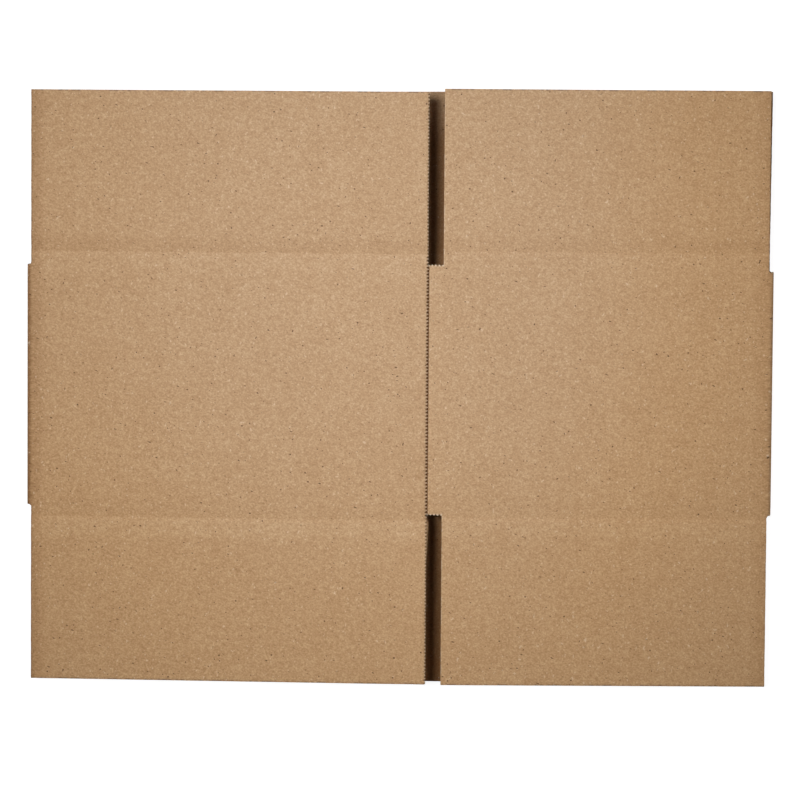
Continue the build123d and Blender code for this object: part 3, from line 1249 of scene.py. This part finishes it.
@dataclass(frozen=True)
class KraftLiner:
    """The brown paper of the liners: mottle, flecks, torn edges, dried glue, and painted shade and
    light.

    dark, middle, light: the browns that the tone runs through from 0 to 1
    torn, painted_edge_shade, glue_and_shade: colours of torn paper, of the painted shade at cut
    edges and tooth roots, and of dried glue with the painted shade in the seam's tooth gaps
    falloff_tint, inside_painted_shade: shares of red, green and blue kept under the painted shade
    of the lamps' falloff and under the painted shade inside the carton
    fibre_bumps, fibre_turns, fibre_cut: bumps of the fibres' noise to a metre, turn and strength of
        each direction, and where the noise is cut
    panel_change: over what length the scores pass from the short panel's line to the long one's
    fold_painted_shades, fold_reach: painted shade at the right and left fold, and where it begins
    and ends to fall
    fold_line_shade, fold_line_reach: the same for the painted dark line along the left fold's
    middle
    falloff_reach, falloff_below: where that painted shade falls off from a fold, and where it grows
    towards the bottom
    falloff_shares, falloff_least: that painted shade by the right fold, by the left fold and below,
    and everywhere
    inner_face: heights in the board between which the inner face, with its painted shade, ends
    inner_rim, inner_rim_width: how far down, and how far to each side, the painted light inside the
    upper slot reaches, where the painted shade inside is lifted
    seam_dark_strip, seam_dark_fades: sides of the strip of dried glue and painted shade from the
    seam, and its fades across and along
    relief_shares, relief_depth: shares of grain, felt and patches in the relief, and its depth
    """

    name: str = "kraft_liner"
    dark: Levels = (148, 111, 76)
    middle: Levels = (191, 156, 120)
    light: Levels = (224, 198, 166)
    torn: Levels = (248, 230, 204)
    # Colour of the painted shade at cut edges and at the roots of the teeth.
    painted_edge_shade: Levels = (92, 66, 42)
    # Dried glue, and painted shade in the seam's tooth gaps.
    glue_and_shade: Levels = (92, 52, 16)
    falloff_tint: Levels = (1.0, 0.93, 0.80)
    inside_painted_shade: Levels = (0.65, 0.52, 0.40)
    cloud: Mottle = Mottle((60, 45, 60), strength=0.12)
    patches: Mottle = Mottle((260, 330, 300), strength=0.36, detail=3.0, roughness=0.6)
    felt: Mottle = Mottle((760, 900, 800), strength=0.56, detail=1.0, turn=30.0)
    grain: Mottle = Mottle((900, 1150, 900), strength=0.90, detail=4.0, roughness=0.7)
    fibre_bumps: tuple[float, float, float] = (2300, 260, 400)
    fibre_turns: tuple[tuple[float, float], ...] = ((12.0, 0.15), (71.0, -0.17), (-38.0, 0.12))
    fibre_cut: tuple[float, float] = (0.64, 0.76)
    flecks: tuple[Flecks, ...] = (
        Flecks((84, 54, 30), count=560, low=0.79, high=0.825, strength=0.85),
        Flecks((236, 214, 186), count=640, low=0.775, high=0.82, strength=0.4),
    )
    # Painted shade above each score and painted light below it, as its groove takes under the
    # lamps.
    top_band: ScoreShading = ScoreShading(dark=-0.062, light=0.032)
    bottom_band: ScoreShading = ScoreShading(dark=-0.01, light=0.062)
    panel_change: float = 1.0 * MM
    # Painted shade by the folds, where the board turns away from the lamps.
    fold_painted_shades: tuple[float, float] = (-0.08, -0.16)
    fold_reach: tuple[float, float] = (3.0 * MM, 13.0 * MM)
    # Painted dark line along the left fold's middle, the shade of its side.
    fold_line_shade: float = -0.34
    fold_line_reach: tuple[float, float] = (1.8 * MM, 3.4 * MM)
    falloff_reach: tuple[float, float] = (0.0, 170.0 * MM)
    falloff_below: tuple[float, float] = (-60.0 * MM, 190.0 * MM)
    falloff_shares: tuple[float, float, float] = (0.80, 0.40, 0.66)
    falloff_least: float = 0.12
    inner_face: tuple[float, float] = (0.2 * MM, 0.6 * MM)
    inner_rim: tuple[float, float] = (3.0 * MM, 36.0 * MM)
    inner_rim_width: tuple[float, float] = (4.0 * MM, 48.0 * MM)
    seam_dark_strip: tuple[float, float] = (-3.0 * MM, 1.0 * MM)
    seam_dark_fades: tuple[float, float] = (0.3 * MM, 1.0 * MM)
    glue_and_shade_strength: float = 0.94
    roughness: float = 0.82
    roughness_swing: float = 0.12
    relief_shares: tuple[float, float, float] = (0.5, 0.3, 0.2)
    relief_depth: float = 0.06 * MM
    specular: float = 0.22

    def make(self, blank: Blank) -> bpy.types.Material:
        """Build the material.

        Args:
            blank: The board's blank, which says where its folds and scores are.

        Returns:
            A material on the blank's own coordinates. Its tone, with painted shade and light at the
            scores and folds, goes through a ramp of three browns, multiplied by a warmer painted
            shade where the lamps' light falls off and by the painted shade inside the carton.
            Flecks, dried glue with painted shade at the seam, and torn paper and painted shade at
            the edges are mixed in last.
        """
        graph = Graph(bpy.data.materials.new(self.name))
        at = BoardPlace(graph, blank)
        kinds = (self.cloud, self.patches, self.felt, self.grain)
        cloud, patches, felt, grain = (kind.noise(graph, at.point) for kind in kinds)
        mottled = [self.cloud.tone(cloud), self.patches.tone(patches), self.felt.tone(felt),
                   self.grain.tone(grain), self._fibres(graph, at)]
        tone = reduce(add, mottled + self._painted_shading(at, blank), 0.5)
        browns = (colour_of(levels) for levels in (self.dark, self.middle, self.light))
        stops = list(zip((0.0, 0.5, 1.0), browns))
        paper = graph.node("ShaderNodeValToRGB", {"stops": stops}, {"Fac": tone}).outputs[0]
        # Painted shade of the lamps' falloff: warmer and darker towards the folds and the bottom.
        colour = graph.shade(self._age(at), paper, self.falloff_tint)
        inside = 1 - at.height.ramp(*self.inner_face)
        # Painted shade on the inner face, lifted as painted light near the upper slot's open end.
        colour = graph.shade(inside * self._inside_shade_share(at, blank), colour, self.inside_painted_shade)
        for kind in self.flecks:
            colour = graph.tint(kind.spots(graph, at.point), colour, kind.levels)
        # Dried glue and painted shade along the seam, in the gaps between the teeth.
        colour = graph.tint(self._seam_glue_and_shade(at, blank, inside) * self.glue_and_shade_strength, colour, self.glue_and_shade)
        colour = graph.torn_and_shaded(colour, self.torn, self.painted_edge_shade)
        parts = (noise * share for noise, share in zip((grain, felt, patches), self.relief_shares))
        normal = graph.bump(reduce(add, parts), self.relief_depth)
        roughness = self.roughness + self.roughness_swing * (grain - 0.5)
        graph.surface(colour, roughness, normal, self.specular)
        return graph.owner

    def _fibres(self, graph: Graph, at: BoardPlace) -> Value:
        """Lay light and dark strokes in three directions.

        Args:
            graph: The material's graph.
            at: Place on the blank.

        Returns:
            The sum of long thin noises, each cut to its peaks and multiplied by its strength.
        """
        strokes = []
        for turn, strength in self.fibre_turns:
            noise = Mottle(self.fibre_bumps, detail=1.0, turn=turn).noise(graph, at.point)
            strokes.append(noise.ramp(*self.fibre_cut) * strength)
        return reduce(add, strokes)

    def _painted_shading(self, at: BoardPlace, blank: Blank) -> list[Value]:
        """Paint shade and light where the board is scored and folded.

        Args:
            at: Place on the blank.
            blank: The blank, which says where its scores are.

        Returns:
            Painted shade and light of the two scores, painted shade of both folds, and the painted
            dark line of the left fold's middle.
        """
        on_long = at.right.ramp(-self.panel_change, self.panel_change)
        right, left = at.right.size(), at.left.size()
        return [
            self.top_band.tone(at.along, blank.short_top_score, blank.top_score, on_long),
            self.bottom_band.tone(at.along, blank.short_bottom_score, blank.bottom_score, on_long),
            self.fold_painted_shades[0] * (1 - right.ramp(*self.fold_reach)),
            self.fold_painted_shades[1] * (1 - left.ramp(*self.fold_reach)),
            self.fold_line_shade * (1 - left.ramp(*self.fold_line_reach)),
        ]

    def _age(self, at: BoardPlace) -> Value:
        """Say how much painted shade of the lamps' falloff the paper takes.

        Args:
            at: Place on the blank.

        Returns:
            A little everywhere, plus shares that grow towards each fold and towards the lower edge,
            smoothed between 0 and 1.
        """
        by_right, by_left, below = self.falloff_shares
        return (self.falloff_least + by_right * (1 - at.right.size().ramp(*self.falloff_reach))
                + by_left * (1 - at.left.size().ramp(*self.falloff_reach))
                + below * (at.along * -1.0).ramp(*self.falloff_below)).ramp(0.0, 1.0)

    def _inside_shade_share(self, at: BoardPlace, blank: Blank) -> Value:
        """Share of painted shade inside the carton: 1, less towards the rim that the upper slot
        shows, which takes painted light.
        """
        shown = 1 - (at.across - blank.shown_u).size().ramp(*self.inner_rim_width)
        return 1 - shown * (1 - (blank.top_edge - at.along).ramp(*self.inner_rim))

    def _seam_glue_and_shade(self, at: BoardPlace, blank: Blank, inside: Value) -> Value:
        """Find the strip of dried glue, and of painted shade in the gaps between the teeth, beside
        the seam.

        Args:
            at: Place on the blank.
            blank: The blank, which says where the seam is.
            inside: 1 on the inner face and 0 on the outer one.

        Returns:
            1 on the outer face within the strip, from slot to slot, and 0 elsewhere.
        """
        across_fade, along_fade = self.seam_dark_fades
        beside = (at.across - blank.seam_u).within(*self.seam_dark_strip, fade=across_fade)
        between = at.along.within(blank.joint_bottom_end, blank.joint_top_end, fade=along_fade)
        return beside * (1 - inside) * between


@dataclass(frozen=True)
class CutBoard:
    """The cut edges: torn liner edges, paler at the cut, with painted shade along some, and the
    rough ply in the flutes.
    """

    name: str = "cut_board"
    shade: Levels = (126, 92, 60)
    paper: Levels = (180, 146, 108)
    torn: Levels = (248, 230, 204)
    # Colour of the painted shade at cut edges and at the roots of the teeth.
    painted_edge_shade: Levels = (70, 44, 22)
    streaks: Mottle = Mottle((1500, 1500, 6000), strength=1.1, detail=3.0, roughness=0.65)
    blotches: Mottle = Mottle((300, 300, 300), strength=0.5)
    tone_reach: tuple[float, float] = (0.1, 0.9)
    roughness: float = 0.92
    relief_depth: float = 0.12 * MM
    specular: float = 0.12

    def make(self) -> bpy.types.Material:
        """Build the material.

        Returns:
            Two browns in streaks drawn out along the board, with torn paper and painted shade mixed
            in at the edges.
        """
        graph = Graph(bpy.data.materials.new(self.name))
        point = graph.attribute("board_place").outputs["Vector"]
        streaks, blotches = (kind.noise(graph, point) for kind in (self.streaks, self.blotches))
        tone = 0.5 + self.streaks.tone(streaks) + self.blotches.tone(blotches)
        tone = tone.ramp(*self.tone_reach)
        colour = graph.mix(tone, colour_of(self.shade), colour_of(self.paper))
        colour = graph.torn_and_shaded(colour, self.torn, self.painted_edge_shade)
        graph.surface(colour, self.roughness, graph.bump(streaks, self.relief_depth), self.specular)
        return graph.owner


@dataclass
class Finishes:
    """The two finishes of the board, in the order of the meshes' material numbers."""

    blank: Blank
    liner: KraftLiner = field(default_factory=KraftLiner)
    cut: CutBoard = field(default_factory=CutBoard)

    def __post_init__(self) -> None:
        """Make the materials once."""
        self.materials = [self.liner.make(self.blank), self.cut.make()]

    def dress(self, piece: bpy.types.Object) -> None:
        """Give a piece its materials.

        Args:
            piece: The piece's object.
        """
        for material in self.materials:
            piece.data.materials.append(material)


@dataclass
class CartonBoard:
    """The folded blank without its hinged flaps: panels, folds, the tab and the back flaps."""

    blank: Blank
    name: str = "carton_board"
    back_step: float = 2.0 * MM
    fold_steps: int = 16
    row_step: float = 16.0 * MM
    score_step: float = 0.9 * MM

    def _lines(self) -> tuple[np.ndarray, np.ndarray]:
        """Lay out the lattice.

        Returns:
            Its lines along u and along v, close together in the folds and at the scores.
        """
        blank, score = self.blank, self.blank.score
        u_lines = np.concatenate([
            spaced(0.0, blank.tab_crease_u, FLUTE_STEP),
            blank.short_lines()[:-1],
            np.linspace(blank.right_fold, blank.back_start, self.fold_steps + 1)[1:-1],
            spaced(blank.back_start, blank.left_fold, self.back_step),
            np.linspace(blank.left_fold, blank.long_start, self.fold_steps + 1)[1:-1],
            blank.long_lines(),
        ])
        u_lines = np.unique(np.round(u_lines, 7))
        scores = [spaced(line - score.back_half_width, line + score.above, self.score_step)
                  for line in (blank.top_score, blank.bottom_score)]
        rows = spaced(blank.bottom_edge, blank.top_edge, self.row_step)
        scored = np.concatenate(scores)
        clear = np.abs(rows[:, None] - scored[None, :]).min(axis=1) > self.row_step / 4
        return u_lines, np.sort(np.concatenate([rows[clear], scored]))

    def _corners(self) -> list[Corner]:
        """Outline the blank without its hinged flaps.

        Returns:
            The corners, from the tab's lower end round, with the board on the left.
        """
        b = self.blank
        slot_left, slot_right = b.back_slot_u
        low_short, low_long = b.short_bottom_score + b.hinge_start, b.bottom_score + b.hinge_start
        high_short, high_long = b.short_top_score - b.hinge_start, b.top_score - b.hinge_start
        return [
            Corner(0.0, b.joint_bottom_end, Cut.SLOT_END),
            Corner(b.slot_u, b.joint_bottom_end, Cut.SLOT_SIDE),
            Corner(b.slot_u, low_short, Cut.JOINED),
            Corner(b.short_side_u, low_short, Cut.FLAP_SIDE),
            Corner(b.short_side_u, b.right_bottom_end, Cut.NOTCH_END),
            Corner(b.back_right_u, b.right_bottom_end, Cut.FLAP_SIDE),
            Corner(b.back_right_u, b.bottom_edge, Cut.FLUTE_ENDS),
            Corner(slot_left, b.bottom_edge, Cut.SLOT_SIDE),
            Corner(slot_left, b.right_bottom_end, Cut.SLOT_END),
            Corner(slot_right, b.right_bottom_end, Cut.SLOT_SIDE),
            Corner(slot_right, b.bottom_edge, Cut.FLUTE_ENDS),
            Corner(b.back_left_u, b.bottom_edge, Cut.FLAP_SIDE),
            Corner(b.back_left_u, b.left_bottom_end, Cut.NOTCH_END),
            Corner(b.long_side_u, b.left_bottom_end, Cut.FLAP_SIDE),
            Corner(b.long_side_u, low_long, Cut.JOINED),
            Corner(b.cut_u, low_long, Cut.KNIFE_EDGE),
            Corner(b.cut_u, high_long, Cut.JOINED),
            Corner(b.long_side_u, high_long, Cut.FLAP_SIDE),
            Corner(b.long_side_u, b.left_top_end, Cut.NOTCH_END),
            Corner(b.back_left_u, b.left_top_end, Cut.FLAP_SIDE),
            Corner(b.back_left_u, b.top_edge, Cut.FLUTE_ENDS),
            Corner(slot_right, b.top_edge, Cut.SLOT_SIDE),
            Corner(slot_right, b.top_end, Cut.SLOT_END),
            Corner(slot_left, b.top_end, Cut.SLOT_SIDE),
            Corner(slot_left, b.top_edge, Cut.FLUTE_ENDS),
            Corner(b.back_top_right_u, b.top_edge, Cut.FLAP_SIDE),
            Corner(b.back_top_right_u, b.top_end, Cut.NOTCH_END),
            Corner(b.short_top_side_u, b.top_end, Cut.FLAP_SIDE),
            Corner(b.short_top_side_u, high_short, Cut.JOINED),
            Corner(b.slot_u, high_short, Cut.SLOT_SIDE),
            Corner(b.slot_u, b.joint_top_end, Cut.SLOT_END),
            Corner(0.0, b.joint_top_end, Cut.SLOT_SIDE),
        ]

    def build(self, finishes: Finishes) -> bpy.types.Object:
        """Build the piece, dress it and hang it on the carton's body.

        Args:
            finishes: The board's materials.

        Returns:
            The piece, which replaces the body's CAD node.
        """
        u_lines, v_lines = self._lines()
        piece = Panel(self.blank, self._corners(), u_lines, v_lines).build(self.name)
        finishes.dress(piece)
        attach(piece, CARTON_BODY)
        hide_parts("carton_body")
        return piece


class FlapPlace(Enum):
    """The four hinged flaps: node name, whether above, and whether on the long panel."""

    LONG_TOP = ("long_flap_top", 1, True)
    LONG_BOTTOM = ("long_flap_bottom", -1, True)
    SHORT_TOP = ("short_flap_top", 1, False)
    SHORT_BOTTOM = ("short_flap_bottom", -1, False)


@dataclass
class HingedFlap:
    """A front flap with the strip of board that bends at its score."""

    blank: Blank
    place: FlapPlace
    row_step: float = 14.0 * MM
    bend_step: float = 0.35 * MM
    score_step: float = 0.9 * MM

    def _extent(self) -> tuple[float, float, float, float]:
        """Find where the flap lies on the blank.

        Returns:
            Its two sides along u, then its score and its far edge along v.
        """
        b = self.blank
        return {
            FlapPlace.LONG_TOP:
                (b.long_side_u, b.cut_u, b.top_score, b.top_edge),
            FlapPlace.LONG_BOTTOM:
                (b.long_side_u, b.cut_u, b.bottom_score, b.bottom_edge),
            FlapPlace.SHORT_TOP:
                (b.slot_u, b.short_top_side_u, b.short_top_score, b.short_top_edge),
            FlapPlace.SHORT_BOTTOM:
                (b.slot_u, b.short_side_u, b.short_bottom_score, b.short_bottom_edge),
        }[self.place]

    def build(self, finishes: Finishes) -> bpy.types.Object:
        """Build the flap and dress it.

        Args:
            finishes: The board's materials.

        Returns:
            The piece, which begins on the panel's side of its score and replaces the CAD node.
        """
        node, above, on_long = self.place.value
        b = self.blank
        side_low, side_high, score, edge = self._extent()
        start, end = score - above * b.hinge_start, score + above * b.hinge_end
        bend = spaced(min(start, end) - MM, max(start, end) + MM, self.bend_step)
        flank = spaced(score - b.score.above, score + b.score.above, self.score_step)
        rows = spaced(min(start, edge), max(start, edge), self.row_step)
        rows = rows[np.abs(rows - score) > b.score.above + self.row_step / 4]
        flank = flank[(flank < bend[0] - self.bend_step) | (flank > bend[-1] + self.bend_step)]
        u_lines = b.long_lines() if on_long else b.short_lines()
        sides = (Cut.FLAP_SIDE, Cut.FLAP_KNIFE) if on_long else (Cut.SLOT_SIDE, Cut.FLAP_SIDE)
        bottom, top = min(start, edge), max(start, edge)
        ends = (Cut.JOINED, Cut.FLUTE_ENDS) if above > 0 else (Cut.FLUTE_ENDS, Cut.JOINED)
        corners = [Corner(side_low, bottom, ends[0]), Corner(side_high, bottom, sides[1]),
                   Corner(side_high, top, ends[1]), Corner(side_low, top, sides[0])]
        v_lines = np.sort(np.concatenate([rows, bend, flank]))
        piece = Panel(b, corners, u_lines, v_lines).build(f"{node}_board")
        finishes.dress(piece)
        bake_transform(piece)
        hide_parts(node)
        return piece


@dataclass(frozen=True)
class Softbox:
    """A large round lamp with a wide fading cone."""

    name: str
    aim: tuple[float, float, float]
    direction: tuple[float, float, float]
    radius: float
    cone: float
    watts: float
    distance: float = 1.5

    def build(self) -> None:
        """Hang the lamp at its distance from its aim, facing it."""
        lamp = bpy.data.lights.new(self.name, "SPOT")
        lamp.energy = self.watts
        lamp.shadow_soft_size = self.radius
        lamp.spot_size = math.radians(self.cone)
        lamp.spot_blend = 1.0
        holder = bpy.data.objects.new(self.name, lamp)
        ray = Vector(self.direction).normalized() * self.distance
        turn = (-ray).to_track_quat("-Z", "Y").to_matrix().to_4x4()
        holder.matrix_world = Matrix.Translation(Vector(self.aim) + ray) @ turn
        bpy.context.scene.collection.objects.link(holder)


@dataclass
class Studio:
    """The pale floor, the two soft lamps, the surrounding light and the camera."""

    lamps: tuple[Softbox, ...] = (
        Softbox("left_softbox", aim=(0.12, 0.13, 0.01), direction=(-0.62, 0.18, 1.0),
                radius=0.50, cone=50.3, watts=101.6),
        Softbox("right_softbox", aim=(-0.58, -0.12, 0.01), direction=(1.50, 0.18, 1.0),
                radius=0.28, cone=68.6, watts=32.0),
    )
    surround: float = 0.015
    floor_size: float = 8.0
    floor_drop: float = 0.05 * MM
    floor_tone: float = 0.8
    floor_shade: float = 0.3
    floor_glow: tuple[float, float] = (0.93, 1.0)
    glow_reach: tuple[float, float] = (0.3, 0.6)
    camera_place: tuple[float, float, float] = (0.061987, 0.168356, 2.500)
    camera_pan: float = 1.408
    camera_tilt: float = -4.044
    camera_roll: float = 0.412
    focal_pixels: float = 4059.5
    image_pixels: float = 800.0
    sensor: float = 36.0
    camera_clip: tuple[float, float] = (0.01, 50.0)

    def build(self) -> None:
        """Set the colour view and build everything round the object."""
        bpy.context.scene.view_settings.view_transform = "Standard"
        self._build_world()
        self._build_floor()
        for lamp in self.lamps:
            lamp.build()
        self._build_camera()

    @staticmethod
    def _seen(graph: Graph) -> Value:
        """Tell the rays that end in the picture from those that only shed light.

        Args:
            graph: The graph of the floor or of the world.

        Returns:
            1 for rays from the camera and for those that gloss or glass passes on, 0 for the rest.
        """
        path = graph.node("ShaderNodeLightPath", {}, {})
        rays = ("Is Camera Ray", "Is Glossy Ray", "Is Transmission Ray")
        return reduce(add, (Value(graph, path.outputs[ray]) for ray in rays)).ramp(0.0, 1.0)

    def _build_world(self) -> None:
        """White where the camera sees it, and an even pale light elsewhere."""
        graph = Graph(bpy.data.worlds.new("studio"))
        bpy.context.scene.world = graph.owner
        strength = self.surround + (1.0 - self.surround) * self._seen(graph)
        back = graph.node("ShaderNodeBackground", {}, {"Color": WHITE, "Strength": strength})
        graph.node("ShaderNodeOutputWorld", {}, {"Surface": back.outputs[0]})

    def _build_floor(self) -> None:
        """A flat floor just under the board, which glows white to the camera and keeps shadows."""
        half = self.floor_size / 2
        points = np.array([(x, y, -self.floor_drop) for x, y in
                           ((-half, -half), (half, -half), (half, half), (-half, half))])
        face = [np.array([[0, 1, 2, 3]])]
        floor = MeshMaker("floor", points, face, np.zeros(1, np.int32)).make({})
        graph = Graph(bpy.data.materials.new("pale_floor"))
        plain = graph.node("ShaderNodeBsdfDiffuse", {}, {"Color": (*(self.floor_tone,) * 3, 1.0)})
        shaded = graph.node("ShaderNodeBsdfDiffuse", {}, {"Color": (*(self.floor_shade,) * 3, 1.0)})
        place = graph.node("ShaderNodeTexCoord", {}, {}).outputs["Object"]
        away = graph.node("ShaderNodeVectorMath", {"operation": "LENGTH"}, {0: place})
        low, high = self.floor_glow
        strength = low + (high - low) * Value(graph, away.outputs["Value"]).ramp(*self.glow_reach)
        glow = graph.node("ShaderNodeEmission", {}, {"Color": WHITE, "Strength": strength})
        seen = graph.node("ShaderNodeAddShader", {}, {0: shaded.outputs[0], 1: glow.outputs[0]})
        mixed = graph.node("ShaderNodeMixShader", {}, {0: self._seen(graph), 1: plain.outputs[0],
                                                       2: seen.outputs[0]})
        graph.node("ShaderNodeOutputMaterial", {}, {"Surface": mixed.outputs[0]})
        floor.data.materials.append(graph.owner)

    def _build_camera(self) -> None:
        """The camera nearly straight above, turned about Y, then about X, then about Z."""
        camera = bpy.data.cameras.new("camera")
        camera.sensor_width = self.sensor
        camera.lens = self.focal_pixels / self.image_pixels * self.sensor
        camera.clip_start, camera.clip_end = self.camera_clip
        holder = bpy.data.objects.new("camera", camera)
        turns = ((self.camera_pan, "Y"), (self.camera_tilt, "X"), (self.camera_roll, "Z"))
        rotation = Matrix.Identity(4)
        for degrees, axis in turns:
            rotation = rotation @ Matrix.Rotation(math.radians(degrees), 4, axis)
        holder.matrix_world = Matrix.Translation(Vector(self.camera_place)) @ rotation
        bpy.context.scene.collection.objects.link(holder)
        bpy.context.scene.camera = holder


def main() -> None:
    """Build the studio, the carton's board and its four hinged flaps, and report each piece."""
    logging.basicConfig(level=logging.INFO, format="%(name)s: %(message)s")
    Studio().build()
    blank = Blank()
    finishes = Finishes(blank)
    pieces = [CartonBoard(blank).build(finishes)]
    pieces += [HingedFlap(blank, place).build(finishes) for place in FlapPlace]
    for piece in pieces:
        points, faces = len(piece.data.vertices), len(piece.data.polygons)
        LOG.info("%s: %d points, %d faces", piece.name, points, faces)


if __name__ == "__main__":
    main()
